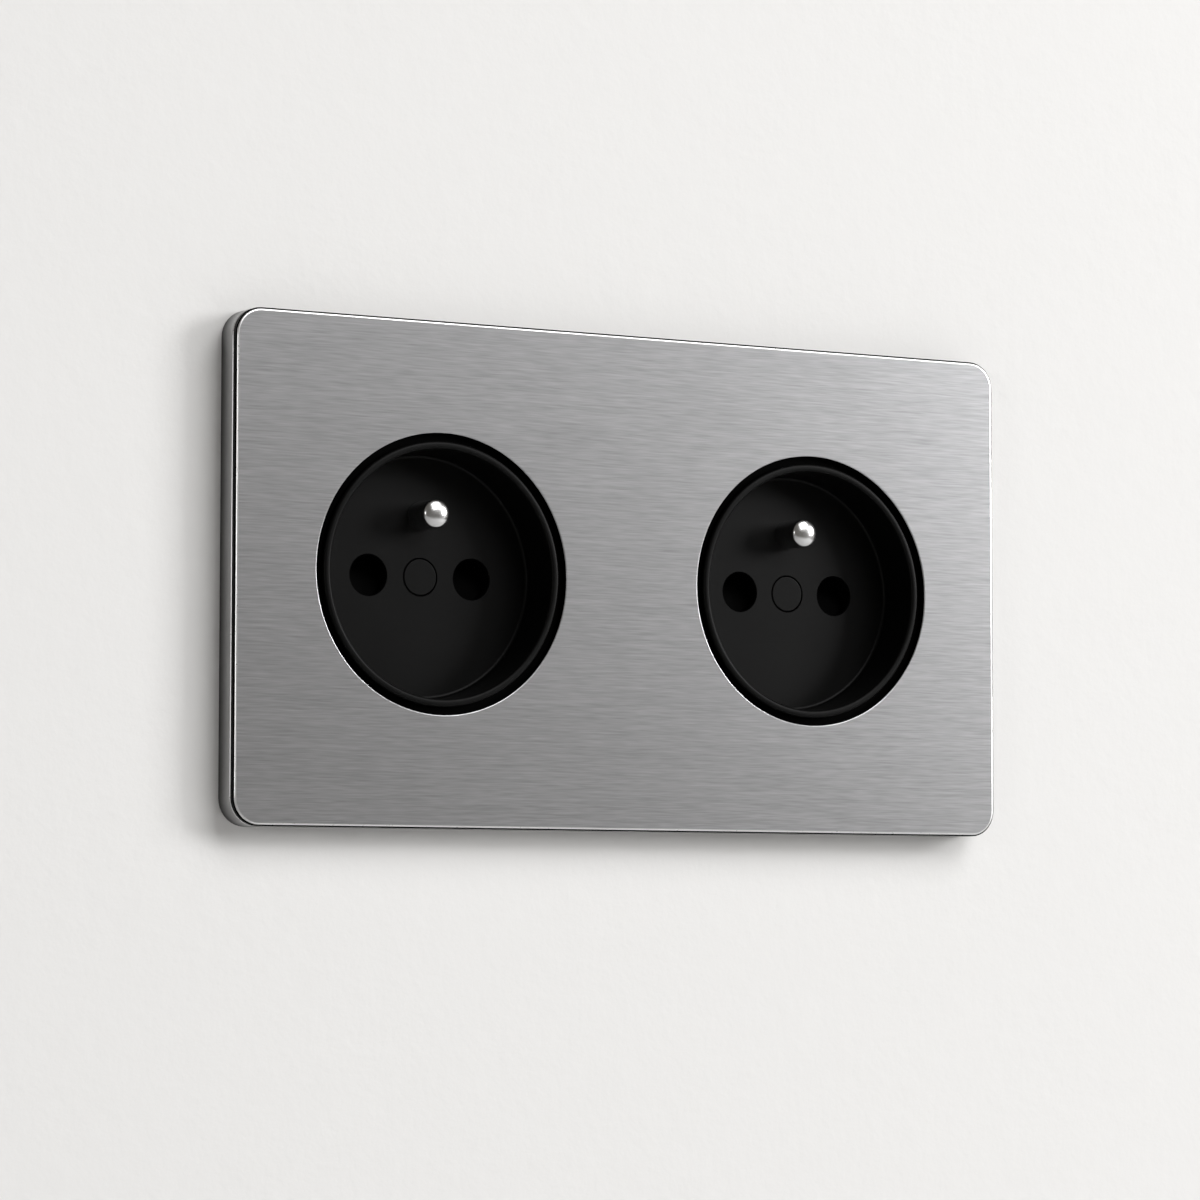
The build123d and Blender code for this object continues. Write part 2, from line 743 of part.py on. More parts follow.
    # Rear cover: moulded plate that closes the pockets, with a hole for each wire
    with BuildPart() as rear_cover:
        with BuildSketch(level(cover_back, x)):
            RectangleRounded(body_width, body_height, body_corner)
            with Locations((-line_x, terminal_z), (line_x, terminal_z), (0, earth_terminal_z)):
                Circle(wire_hole_radius + cover_wire_gap, mode=Mode.SUBTRACT)
            with Locations(*[(u * cover_screw_x, cover_screw_z) for u in (-1, 1)]):
                Circle(cover_screw_radius + through_clearance, mode=Mode.SUBTRACT)
        extrude(amount=cover_thickness)
        back = rear_cover.faces().sort_by(Axis.Y)[-1]
        chamfer(back.outer_wire().edges(), length=body_edge)
    rear_cover.part.label = f"{side}_rear_cover"
    export_step(rear_cover.part, f"parts/{side}_rear_cover.step")

    # Cover screws: two, from behind
    with BuildPart() as cover_screws:
        with BuildSketch(level(cover_back, x)):
            with Locations(*[(u * cover_screw_x, cover_screw_z) for u in (-1, 1)]):
                Circle(cover_screw_head_radius)
        extrude(amount=-cover_screw_head_height)
        with BuildSketch(level(cover_back, x)):
            with Locations(*[(u * cover_screw_x, cover_screw_z) for u in (-1, 1)]):
                Circle(cover_screw_radius)
        extrude(amount=cover_thickness + cover_screw_reach - head_clearance)
        with BuildSketch(level(cover_back - cover_screw_head_height, x)):
            with Locations(*[(u * cover_screw_x, cover_screw_z) for u in (-1, 1)]):
                Rectangle(2 * cover_screw_head_radius, screw_slot_width)
        extrude(amount=screw_slot_depth, mode=Mode.SUBTRACT)
    cover_screws.part.label = f"{side}_cover_screws"
    export_step(cover_screws.part, f"parts/{side}_cover_screws.step")
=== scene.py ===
import bmesh
import bpy
import numpy as np
from mathutils import Matrix, Vector


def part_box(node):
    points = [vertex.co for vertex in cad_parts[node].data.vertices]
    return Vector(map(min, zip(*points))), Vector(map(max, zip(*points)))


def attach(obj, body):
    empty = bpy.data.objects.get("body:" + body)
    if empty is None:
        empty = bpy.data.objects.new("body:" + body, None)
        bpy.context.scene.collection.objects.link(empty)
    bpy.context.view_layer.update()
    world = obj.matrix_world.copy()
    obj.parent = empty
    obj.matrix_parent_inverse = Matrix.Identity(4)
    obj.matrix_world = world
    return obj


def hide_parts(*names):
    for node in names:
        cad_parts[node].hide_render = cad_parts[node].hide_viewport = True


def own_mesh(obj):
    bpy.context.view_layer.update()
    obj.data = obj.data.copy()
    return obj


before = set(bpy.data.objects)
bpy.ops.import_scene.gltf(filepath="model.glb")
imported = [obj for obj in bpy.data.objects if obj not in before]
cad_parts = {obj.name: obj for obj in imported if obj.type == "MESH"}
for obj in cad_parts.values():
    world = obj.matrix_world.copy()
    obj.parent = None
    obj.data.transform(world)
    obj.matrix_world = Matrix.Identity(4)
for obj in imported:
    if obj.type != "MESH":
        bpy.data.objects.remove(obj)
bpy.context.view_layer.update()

mm = 0.001

# Camera: to the left of the socket and a little below it, looking up at the plate's middle.
# A long lens keeps the plate's upright edges nearly parallel.
camera_turn = np.radians(30.11)
camera_rise = np.radians(4.226)
camera_roll = np.radians(0.065)
camera_distance = 747.8 * mm
camera_target = Vector((-6.212 * mm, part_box("face_plate")[0].y, -3.134 * mm))
camera_lens = 135.92

right = Vector((np.cos(camera_turn), -np.sin(camera_turn), 0))
ahead = Vector((
    np.sin(camera_turn) * np.cos(camera_rise),
    np.cos(camera_turn) * np.cos(camera_rise),
    np.sin(camera_rise),
))
up = right.cross(ahead)
rolled_right = right * np.cos(camera_roll) + up * np.sin(camera_roll)
rolled_up = up * np.cos(camera_roll) - right * np.sin(camera_roll)
camera_axes = Matrix((rolled_right, rolled_up, -ahead)).transposed().to_4x4()

camera = bpy.data.objects.new("camera", bpy.data.cameras.new("camera"))
camera.data.lens = camera_lens
camera.data.sensor_width = 36
camera.data.clip_start = 0.05
camera.data.clip_end = 20
camera.matrix_world = Matrix.Translation(camera_target - ahead * camera_distance) @ camera_axes
bpy.context.scene.collection.objects.link(camera)
bpy.context.scene.camera = camera
bpy.context.scene.view_settings.view_transform = "Standard"

# Wall: painted plaster, cut out behind the plate as for a wall box, so that the socket's back
# shows from behind. The floor is a pale sheet far below it.
plate_low, plate_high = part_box("face_plate")
plate_half_x = plate_high.x / mm
plate_half_z = plate_high.z / mm
plate_corner = 4.5
wall_half = 1600.0
wall_ring = 400.0
wall_inset = 0.3
wall_gap = 0.02
floor_drop = 420.0
corner_points = 10


def outline(half_x, half_z, radius, side_points=15):
    """Once round a rounded rectangle, anticlockwise: centre + radius * (cos, sin), where the angle
    sweeps a quarter turn at each corner's centre, then stands still while the centre slides on."""
    sweep = np.r_[np.linspace(0, 1, corner_points), np.ones(side_points)]
    slide = np.r_[np.zeros(corner_points), np.arange(1, side_points + 1) / (side_points + 1)][:, None]
    corners = np.array([(1, 1), (-1, 1), (-1, -1), (1, -1), (1, 1)])
    corners = corners * (half_x - radius, half_z - radius)
    centre = corners[:-1, None] * (1 - slide) + corners[1:, None] * slide
    angle = (np.arange(4)[:, None] + sweep) * np.pi / 2
    return (centre + radius * np.stack((np.cos(angle), np.sin(angle)), -1)).reshape(-1, 2)


def at_height(points, height, x=0.0):
    """Points (across, up) in millimetres, put at a height out of the wall: (across + x, -height, up)."""
    across, rise = points[..., 0], points[..., 1]
    return np.stack((across + x, np.broadcast_to(-height, across.shape), rise), -1)


def make_piece(name, patches, sharp=35.0):
    """A mesh from patches of points in millimetres. A patch is (rows by columns by 3, whether its
    rows close on themselves, whether its columns do, the number of its material if not the first).
    Each cell of four points is a face, and points that coincide are merged, which closes the seams
    and the poles."""
    points, faces, slots, first = [], [], [], 0
    for grid, rows_close, columns_close, *slot in patches:
        rows, columns = grid.shape[:2]
        index = first + np.arange(rows * columns).reshape(rows, columns)
        if rows_close:
            index = np.concatenate((index, index[:1]))
        if columns_close:
            index = np.concatenate((index, index[:, :1]), 1)
        cell = np.stack((index[:-1, :-1], index[:-1, 1:], index[1:, 1:], index[1:, :-1]), -1)
        faces.append(cell.reshape(-1, 4))
        slots.append(np.full(len(faces[-1]), slot[0] if slot else 0))
        points.append(grid.reshape(-1, 3))
        first += rows * columns
    mesh = bpy.data.meshes.new(name)
    mesh.from_pydata(np.concatenate(points) * mm, [], np.concatenate(faces))
    mesh.polygons.foreach_set("material_index", np.concatenate(slots))
    work = bmesh.new()
    work.from_mesh(mesh)
    bmesh.ops.remove_doubles(work, verts=work.verts, dist=2e-6)
    bmesh.ops.dissolve_degenerate(work, edges=work.edges, dist=1e-7)
    bmesh.ops.recalc_face_normals(work, faces=work.faces)
    work.to_mesh(mesh)
    work.free()
    mesh.shade_smooth()
    mesh.set_sharp_from_angle(angle=np.radians(sharp))
    piece = bpy.data.objects.new(name, mesh)
    bpy.context.scene.collection.objects.link(piece)
    return piece


wall_rows = [
    outline(wall_half, wall_half, plate_corner),
    outline(wall_ring, wall_ring, plate_corner),
    outline(plate_half_x - wall_inset, plate_half_z - wall_inset, plate_corner - wall_inset),
]
wall = make_piece("wall", [(np.stack([at_height(row, -wall_gap) for row in wall_rows]), False, True)])
if wall.data.polygons[0].normal.y > 0:
    wall.data.flip_normals()
floor_corners = np.array([[(-1, 1), (1, 1)], [(-1, -1), (1, -1)]]) * wall_half
floor_grid = np.concatenate((floor_corners, np.full((2, 2, 1), -floor_drop)), -1)
floor = make_piece("floor", [(floor_grid, False, False)])


def new_material(name):
    """A material with its Principled shader, and a function that adds a node to it."""
    material = bpy.data.materials.new(name)
    material.use_nodes = True
    tree = material.node_tree

    def add(kind, links=(), **settings):
        node = tree.nodes.new(kind)
        for key, value in settings.items():
            if hasattr(node, key):
                setattr(node, key, value)
            else:
                node.inputs[key.replace("_", " ")].default_value = value
        for socket, source in dict(links).items():
            tree.links.new(source, node.inputs[socket])
        return node

    return material, tree, tree.nodes["Principled BSDF"], add


plaster, tree, shader, add = new_material("plaster")
place = add("ShaderNodeTexCoord").outputs["Object"]
grain = add("ShaderNodeTexNoise", {"Vector": place}, Scale=260, Detail=5, Roughness=0.55)
bump = add("ShaderNodeBump", {"Height": grain.outputs["Fac"]}, Strength=0.25, Distance=0.0004)
tree.links.new(bump.outputs["Normal"], shader.inputs["Normal"])
shader.inputs["Base Color"].default_value = (0.718, 0.713, 0.706, 1)
shader.inputs["Roughness"].default_value = 0.9
shader.inputs["Specular IOR Level"].default_value = 0.1
wall.data.materials.append(plaster)

pale_floor, tree, shader, add = new_material("pale_floor")
place = add("ShaderNodeTexCoord").outputs["Object"]
cloud = add("ShaderNodeTexNoise", {"Vector": place}, Scale=4, Detail=3)
tone = add("ShaderNodeMapRange", {"Value": cloud.outputs["Fac"]}, To_Min=0.56, To_Max=0.6)
tree.links.new(tone.outputs[0], shader.inputs["Base Color"])
shader.inputs["Roughness"].default_value = 0.8
floor.data.materials.append(pale_floor)

# Light: soft key lamps from the right and from above, a small fill from the left, a pale room all
# round, and a soft lamp behind for the socket's back.
world = bpy.data.worlds.new("room")
bpy.context.scene.world = world
world.use_nodes = True
background = world.node_tree.nodes["Background"]
background.inputs["Color"].default_value = (1.0, 0.94, 0.86, 1)
background.inputs["Strength"].default_value = 0.15


def soft_lamp(name, turn, rise, distance, size, power):
    """A square lamp that faces the plate's middle, turned right of the wall's normal and raised."""
    turn, rise = np.radians(turn), np.radians(rise)
    place = distance * Vector((np.cos(rise) * np.sin(turn), -np.cos(rise) * np.cos(turn), np.sin(rise)))
    lamp = bpy.data.objects.new(name, bpy.data.lights.new(name, "AREA"))
    lamp.data.size = size
    lamp.data.energy = power
    lamp.location = place
    lamp.rotation_euler = (-place).to_track_quat("-Z", "Y").to_euler()
    lamp.visible_camera = False
    bpy.context.scene.collection.objects.link(lamp)


soft_lamp("side_key", turn=56.5, rise=13, distance=2.4, size=0.86, power=39)
soft_lamp("high_key", turn=23, rise=38.5, distance=2.4, size=1.54, power=41)
soft_lamp("left_fill", turn=-58, rise=5, distance=1.5, size=0.24, power=1.3)
soft_lamp("rear", turn=205, rise=25, distance=1.6, size=1.2, power=30)

# Face plate: stainless sheet, brushed along its length, with a polished bevel inside a fine step round its
# edge, and a finer bevel round each hole. It is bonded to the moulded carrier. The step, the outer side,
# the back and the hole's wall are painted near black, as painted shade.
plate_front = -plate_low.y / mm
plate_back = -plate_high.y / mm
plate_step = 0.2
plate_bevel = 0.26
bevel_rise = 0.22
rim_lean = 0.05
hole_bevel = 0.15
hole_radius = 22.9
socket_x = 35.5
guard = 0.06
hole_guard = 0.1 * hole_bevel
plate_side_points = 121
seam_points = 41
round_steps = 7
face_steps = 7


def plate_half(sign):
    """The patches of one half of the plate. Each point of the half's border is paired with the
    point of the hole's circle in the same direction, and the profile runs from one to the other:
    up the hole's wall, over its bevel, across the face, over the outer bevel and round the back.
    A narrow guard ring beside each rounding keeps its shading off the flat face."""
    to_seam = -(corner_points + plate_side_points // 2)
    whole = outline(plate_half_x, plate_half_z, plate_corner, plate_side_points)
    half = np.roll(whole, to_seam, 0)
    half = half[: len(half) // 2 + 1]
    seam_z = np.linspace(-plate_half_z, plate_half_z, seam_points)
    seam = np.stack((np.zeros(seam_points), seam_z), -1)[1:-1]
    border = np.concatenate((half, seam))
    along = np.arctan2(border[:, 1], border[:, 0] + socket_x)

    def hole(radius, height):
        """The hole's circle, radius * (cos, sin) round the socket, at the border's directions."""
        circle = radius * np.stack((np.cos(along), np.sin(along)), -1) - (socket_x, 0)
        return at_height(circle, height)

    def edge(inset, height):
        """The border at a height, with its outline drawn in by an inset and its seam shrunk to it."""
        ring = outline(
            plate_half_x - inset, plate_half_z - inset, plate_corner - inset, plate_side_points)
        ring = np.roll(ring, to_seam, 0)[: len(half)]
        shrunk = np.stack((seam[:, 0], seam[:, 1] * (plate_half_z - inset) / plate_half_z), -1)
        return at_height(np.concatenate((ring, shrunk)), height)

    round_over = np.linspace(0, np.pi / 2, round_steps)
    facets = np.radians((0, 30, 60, 90))
    face_inset = plate_step + plate_bevel
    step_height = plate_front - bevel_rise
    mouth = np.stack([
        hole(hole_radius, plate_back),
        hole(hole_radius, plate_front - hole_bevel - hole_guard),
        *[hole(hole_radius + hole_bevel * (1 - np.cos(t)), plate_front - hole_bevel * (1 - np.sin(t)))
          for t in round_over],
        hole(hole_radius + hole_bevel + guard, plate_front),
    ])
    reach = np.linspace(0, 1, face_steps)[:, None, None]
    face = mouth[-1] * (1 - reach) + edge(face_inset + guard, plate_front) * reach
    rear = edge(0, plate_back) * (1 - reach) + mouth[0] * reach
    bevel = np.stack([
        edge(face_inset + guard, plate_front),
        *[edge(plate_step + plate_bevel * (1 - np.sin(t)), step_height + bevel_rise * np.cos(t))
          for t in facets],
    ])[:, : len(half)]
    rim = np.stack([
        edge(plate_step, step_height),
        edge(0, step_height - rim_lean),
        edge(0, plate_back),
    ])[:, : len(half)]
    mirror = np.array((sign, 1, 1))
    return [
        (mouth[:2] * mirror, False, True, 1),
        (mouth[1:] * mirror, False, True),
        (face * mirror, False, True),
        (rear * mirror, False, True, 1),
        (bevel * mirror, False, False, 2),
        (rim * mirror, False, False, 1),
    ]


brushed_plate = make_piece("brushed_plate", plate_half(1) + plate_half(-1), sharp=20)

brushed, tree, shader, add = new_material("brushed_steel")
place = add("ShaderNodeTexCoord").outputs["Object"]
fine_place = add("ShaderNodeMapping", {"Vector": place}, Scale=(230, 230, 4600))
fine = add("ShaderNodeTexNoise", {"Vector": fine_place.outputs[0]}, Scale=1, Detail=1, Roughness=0.5)
long_place = add("ShaderNodeMapping", {"Vector": place}, Scale=(60, 60, 2400))
long_streak = add("ShaderNodeTexNoise", {"Vector": long_place.outputs[0]}, Scale=1, Detail=2, Roughness=0.5)
streaks = add("ShaderNodeMix", {"A": fine.outputs["Fac"], "B": long_streak.outputs["Fac"]}, Factor=0.4)
spread = add("ShaderNodeMapRange", {"Value": streaks.outputs[0]}, From_Min=0.2, From_Max=0.8)
tone = add("ShaderNodeMix", {"Factor": spread.outputs[0]}, data_type="RGBA")
tone.inputs["A"].default_value = (0.322, 0.323, 0.332, 1)
tone.inputs["B"].default_value = (0.545, 0.547, 0.562, 1)
tree.links.new(tone.outputs["Result"], shader.inputs["Base Color"])
gloss = add("ShaderNodeMapRange", {"Value": streaks.outputs[0]},
            From_Min=0.2, From_Max=0.8, To_Min=0.284, To_Max=0.276)
tree.links.new(gloss.outputs[0], shader.inputs["Roughness"])
shader.inputs["Metallic"].default_value = 1

# Painted shade: near-black metal for the plate's step, side, back and hole wall, where the groove's and the
# hole's shade falls.
plate_shade_edge, tree, shader, add = new_material("painted_shade_edge")
place = add("ShaderNodeTexCoord").outputs["Object"]
shade_speckle = add("ShaderNodeTexNoise", {"Vector": place}, Scale=1500, Detail=4)
tone = add("ShaderNodeMapRange", {"Value": shade_speckle.outputs["Fac"]}, To_Min=0.001, To_Max=0.003)
tree.links.new(tone.outputs[0], shader.inputs["Base Color"])
shader.inputs["Roughness"].default_value = 0.6
shader.inputs["Metallic"].default_value = 1

polished, tree, shader, add = new_material("polished_bevel")
place = add("ShaderNodeTexCoord").outputs["Object"]
rub = add("ShaderNodeTexNoise", {"Vector": place}, Scale=2000, Detail=3)
gloss = add("ShaderNodeMapRange", {"Value": rub.outputs["Fac"]}, To_Min=0.24, To_Max=0.34)
tree.links.new(gloss.outputs[0], shader.inputs["Roughness"])
shader.inputs["Base Color"].default_value = (0.72, 0.72, 0.72, 1)
shader.inputs["Metallic"].default_value = 1

for finish in (brushed, plate_shade_edge, polished):
    brushed_plate.data.materials.append(finish)
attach(brushed_plate, "socket")
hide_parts("face_plate")

# Surround: drawn metal frame, satin finished, pressed against the wall behind the groove, its colour
# darkened towards the wall as painted shade. Its front edge is a thin raised rim, and a ledge inside hangs
# on the carrier.
surround_front = -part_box("surround")[0].y / mm
surround_bevel = 0.2
rim_width = 0.5
rim_gap = 0.1
rim_front = plate_back - rim_gap
surround_wall = 1.5
ledge_width = 2.0
ledge_thickness = 0.9
wall_shade_height = 3.4


def surround_row(inset, height, corner):
    """The plate's outline drawn in by an inset, with its own corner, at a height."""
    return at_height(outline(plate_half_x - inset, plate_half_z - inset, corner), height)


opening_inset = surround_wall + ledge_width
inner_corner = plate_corner - surround_wall
ledge_back = surround_front - ledge_thickness
surround_rows = np.stack([
    surround_row(0, 0, plate_corner),
    surround_row(0, rim_front - surround_bevel, plate_corner),
    surround_row(surround_bevel, rim_front, plate_corner - surround_bevel),
    surround_row(rim_width, rim_front, plate_corner - rim_width),
    surround_row(rim_width, surround_front, plate_corner - rim_width),
    surround_row(opening_inset, surround_front, inner_corner),
    surround_row(opening_inset, ledge_back, inner_corner),
    surround_row(surround_wall, ledge_back, inner_corner),
    surround_row(surround_wall, 0, inner_corner),
])
surround = make_piece("satin_surround", [
    (surround_rows[[-1, 0, 1]], False, True),
    (surround_rows[1:4], False, True, 1),
    (surround_rows[3:], False, True),
], sharp=20)

satin, tree, shader, add = new_material("satin_metal")
place = add("ShaderNodeTexCoord").outputs["Object"]
grit = add("ShaderNodeTexNoise", {"Vector": place}, Scale=2600, Detail=4, Roughness=0.65)
tone = add("ShaderNodeMapRange", {"Value": grit.outputs["Fac"]}, To_Min=0.36, To_Max=0.5)
# Painted shade: the base colour falls to 0.16 at the wall, standing in for the shadowed wall that the side
# reflects.
reach = add("ShaderNodeSeparateXYZ", {"Vector": place}).outputs["Y"]
painted_wall_shade = add("ShaderNodeMapRange", {"Value": reach},
           From_Min=0, From_Max=-wall_shade_height * mm, To_Min=0.16, To_Max=1)
shaded = add("ShaderNodeMath", {0: tone.outputs[0], 1: painted_wall_shade.outputs[0]}, operation="MULTIPLY")
tree.links.new(shaded.outputs[0], shader.inputs["Base Color"])
gloss = add("ShaderNodeMapRange", {"Value": grit.outputs["Fac"]}, To_Min=0.38, To_Max=0.52)
tree.links.new(gloss.outputs[0], shader.inputs["Roughness"])
bump = add("ShaderNodeBump", {"Height": grit.outputs["Fac"]}, Strength=0.1, Distance=0.00003)
tree.links.new(bump.outputs["Normal"], shader.inputs["Normal"])
shader.inputs["Metallic"].default_value = 1
surround.data.materials.append(satin)
surround.data.materials.append(polished)
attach(surround, "socket")
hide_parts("surround")

# Carrier: black moulding bonded to the plate's back. It clips into the straps, and only its edge
# shows, as the dark groove behind the plate.


def moulding(name, shade, roughness, grain_scale=1800, specular=0.085):
    """Moulded plastic: a fine spark-eroded grain in its bump, and slight clouds in its gloss."""
    material, tree, shader, add = new_material(name)
    place = add("ShaderNodeTexCoord").outputs["Object"]
    grain = add("ShaderNodeTexNoise", {"Vector": place}, Scale=grain_scale, Detail=5, Roughness=0.6)
    cloud = add("ShaderNodeTexNoise", {"Vector": place}, Scale=90, Detail=3)
    tone = add("ShaderNodeMapRange", {"Value": grain.outputs["Fac"]},
               To_Min=0.8 * shade, To_Max=1.25 * shade)
    tree.links.new(tone.outputs[0], shader.inputs["Base Color"])
    gloss = add("ShaderNodeMapRange", {"Value": cloud.outputs["Fac"]},
                To_Min=roughness - 0.05, To_Max=roughness + 0.05)
    tree.links.new(gloss.outputs[0], shader.inputs["Roughness"])
    bump = add("ShaderNodeBump", {"Height": grain.outputs["Fac"]}, Strength=0.2, Distance=0.00003)
    tree.links.new(bump.outputs["Normal"], shader.inputs["Normal"])
    shader.inputs["Specular IOR Level"].default_value = specular
    return material


def dress(node, material):
    """A CAD piece whose form is right as it is gets its finish."""
    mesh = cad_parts[node].data
    mesh.materials.clear()
    mesh.materials.append(material)


black = moulding("black_moulding", shade=0.0015, roughness=0.42)
dress("carrier", black)

# Wells: black moulded cups with a rounded lip that stands flush with the plate's front. The
# floor has two line holes, the earth pin's hole and a recess for the screw's cap.
mouth_radius = 20.3
lip_radius = 21.6
lip_round = 0.5
floor_radius = 20.0
floor_corner = 0.5
floor_height = -2.6
floor_thickness = 1.8
floor_back = floor_height - floor_thickness
skirt_radius = 24.5
skirt_wall = 1.2
skirt_gap = 0.2
skirt_height = plate_back - skirt_gap
skirt_thickness = 1.0
skirt_edge = 0.15
line_x = 9.5
line_radius = 3.3
pin_z = 10.0
pin_hole_radius = 2.8
pin_hole_lip = 2.42
pin_lip_depth = 0.4
cap_recess_radius = 3.07
cap_recess_round = 0.08
cap_thickness = 0.9
head_recess_radius = 2.75
head_recess_depth = 3.2
screw_hole_radius = 1.35
boss_radius = 4.2
boss_end = -8.0
strap_front = 1.3
hole_round = 0.12
cell_half = 5.0
cell_points = 13
side_arc_points = 57
end_arc_points = 17
cell_steps = 5
lip_steps = 7
sockets = (("left", -socket_x), ("right", socket_x))

# Painted shade: the holes' walls, and the skirt hidden behind the plate, take a blacker moulding with
# almost no sheen, for the shade inside the holes.
hole_shade_black = moulding("hole_shade_moulding", shade=0.0006, roughness=0.6, specular=0.01)


def quarter(r_start, h_start, r_end, h_end, steps=6, hollow=False):
    """Radius and height along a quarter ellipse: start + (end - start) * (sin t, 1 - cos t). It
    leaves the start along the radius, or along the height if hollow, with the two swapped."""
    t = np.linspace(0, np.pi / 2, steps)
    lead, lag = np.sin(t), 1 - np.cos(t)
    grow_r, grow_h = (lag, lead) if hollow else (lead, lag)
    return np.stack((r_start + (r_end - r_start) * grow_r, h_start + (h_end - h_start) * grow_h), -1)


def turned_rows(profile, angle, x, z=0.0):
    """A profile of radius and height turned round the axis at (x, z), one row for each of its
    points: (x + radius * cos, -height, z + radius * sin)."""
    radius, height = profile[:, :1], profile[:, 1:]
    across, rise = x + radius * np.cos(angle), z + radius * np.sin(angle)
    return np.stack((across, np.broadcast_to(-height, across.shape), rise), -1)


def well_floor_cells(floor_edge):
    """The floor is cut into five cells: left, right and, between them, top, middle and bottom.
    Each is (the hole's centre, the cell's border), and neighbours share their border's points. A
    border is straight lines at half a cell from the axes and arcs of floor_edge * (cos, sin)."""
    half = cell_half
    reach = np.sqrt(floor_edge**2 - half**2)
    tip = np.arctan2(reach, half)

    def line(start, end, points=cell_points):
        """Evenly spaced points or angles from the start up to the end, without the end itself."""
        return np.linspace(start, end, points)[:-1]

    right_arc = line(-tip, tip, side_arc_points)
    top_arc = line(tip, np.pi - tip, end_arc_points)
    left_arc = line(np.pi - tip, np.pi + tip, side_arc_points)
    low_arc = line(np.pi + tip, 2 * np.pi - tip, end_arc_points)
    right_rim, top_rim, left_rim, low_rim = (
        floor_edge * np.stack((np.cos(turn), np.sin(turn)), -1)
        for turn in (right_arc, top_arc, left_arc, low_arc)
    )
    nw, ne, se, sw = (np.array(p) for p in ((-half, half), (half, half), (half, -half), (-half, -half)))
    top_left, top_right = np.array((-half, reach)), np.array((half, reach))
    low_left, low_right = np.array((-half, -reach)), np.array((half, -reach))
    cells = [
        ((-line_x, 0), [left_rim, line(low_left, sw), line(sw, nw), line(nw, top_left)]),
        ((line_x, 0), [right_rim, line(top_right, ne), line(ne, se), line(se, low_right)]),
        ((0, pin_z), [top_rim, line(top_left, nw), line(nw, ne), line(ne, top_right)]),
        ((0, 0), [line(nw, sw), line(sw, se), line(se, ne), line(ne, nw)]),
        ((0, -pin_z), [low_rim, line(low_right, se), line(se, sw), line(sw, low_left)]),
    ]
    edge_angle = np.concatenate((right_arc, top_arc, left_arc, low_arc))
    return [(np.array(c, float), np.concatenate(b)) for c, b in cells], edge_angle


def well_patches(x):
    """The well's wall, lip, skirt and outside are profiles turned round the socket's axis. The
    floor's front and back are cells: each border runs straight in to its hole's end ring, and the
    hole is a profile turned round its own axis."""
    floor_edge = floor_radius - floor_corner - guard
    cells, edge_angle = well_floor_cells(floor_edge)
    outside = np.concatenate([
        [(floor_edge, floor_height)],
        quarter(floor_edge + guard, floor_height, floor_radius, floor_height + floor_corner),
        [(mouth_radius, plate_front - lip_round)],
        quarter(mouth_radius, plate_front - lip_round,
                mouth_radius + lip_round, plate_front, lip_steps, hollow=True),
        quarter(lip_radius - lip_round, plate_front, lip_radius, plate_front - lip_round, lip_steps),
    ])
    skirt = np.array([
        (lip_radius, plate_front - lip_round), (lip_radius, skirt_height),
        (skirt_radius - skirt_edge, skirt_height), (skirt_radius, skirt_height - skirt_edge),
        (skirt_radius, strap_front), (skirt_radius - skirt_wall, strap_front),
        (skirt_radius - skirt_wall, skirt_height - skirt_thickness),
        (lip_radius, skirt_height - skirt_thickness), (lip_radius, floor_back), (floor_edge, floor_back),
    ])
    patches = [
        (turned_rows(outside, edge_angle, x), False, True),
        (turned_rows(skirt, edge_angle, x), False, True, 1),
    ]
    line_hole = np.concatenate([
        [(line_radius + hole_round + guard, floor_height)],
        quarter(line_radius + hole_round, floor_height, line_radius, floor_height - hole_round, steps=4),
        [(line_radius, floor_back)],
    ])
    pin_hole = np.array([
        (pin_hole_lip, floor_height), (pin_hole_lip, floor_height - pin_lip_depth),
        (pin_hole_radius, floor_height - pin_lip_depth), (pin_hole_radius, floor_back),
    ])
    recess_floor = floor_height - cap_thickness
    head_seat = floor_height - head_recess_depth
    screw_hole = np.concatenate([
        [(cap_recess_radius + cap_recess_round + guard, floor_height)],
        quarter(cap_recess_radius + cap_recess_round, floor_height,
                cap_recess_radius, floor_height - cap_recess_round, steps=3),
        [(cap_recess_radius, recess_floor), (head_recess_radius, recess_floor),
         (head_recess_radius, head_seat), (screw_hole_radius, head_seat),
         (screw_hole_radius, boss_end), (boss_radius, boss_end), (boss_radius, floor_back)],
    ])
    blind = np.array([(0.0, floor_height), (0.0, floor_back)])
    reach = np.linspace(0, 1, cell_steps)[:, None, None]
    for (centre, border), hole in zip(cells, (line_hole, line_hole, pin_hole, screw_hole, blind)):
        angle = np.arctan2(border[:, 1] - centre[1], border[:, 0] - centre[0])
        rows = turned_rows(hole, angle, x + centre[0], centre[1])
        front, back = at_height(border, floor_height, x), at_height(border, floor_back, x)
        patches.append((front * (1 - reach) + rows[0] * reach, False, True))
        patches.append((back * (1 - reach) + rows[-1] * reach, False, True))
        if hole is not blind:
            patches.append((rows, False, True, 1))
    return patches


for side, x in sockets:
    well = make_piece(f"{side}_moulded_well", well_patches(x), sharp=40)
    well.data.materials.append(black)
    well.data.materials.append(hole_shade_black)
    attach(well, "socket")
    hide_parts(f"{side}_well")

# Earth pins: turned brass, nickel plated to a satin shine, with a shallow domed end. Each is
# riveted to its earth bridge behind the floor.
pin_radius = 2.4
pin_end = 3.8
pin_dome = 1.1
dome_steps = 20
pin_step_radius = 2.7
pin_step_height = -3.1
pin_shoulder_radius = 3.0
pin_shank_radius = 1.8
rivet_radius = 2.6
rivet_round = 0.5
deck_front = -8.0
rivet_front = -10.4
rivet_back = -11.2
turning_points = 96
around = np.linspace(0, 2 * np.pi, turning_points, endpoint=False)

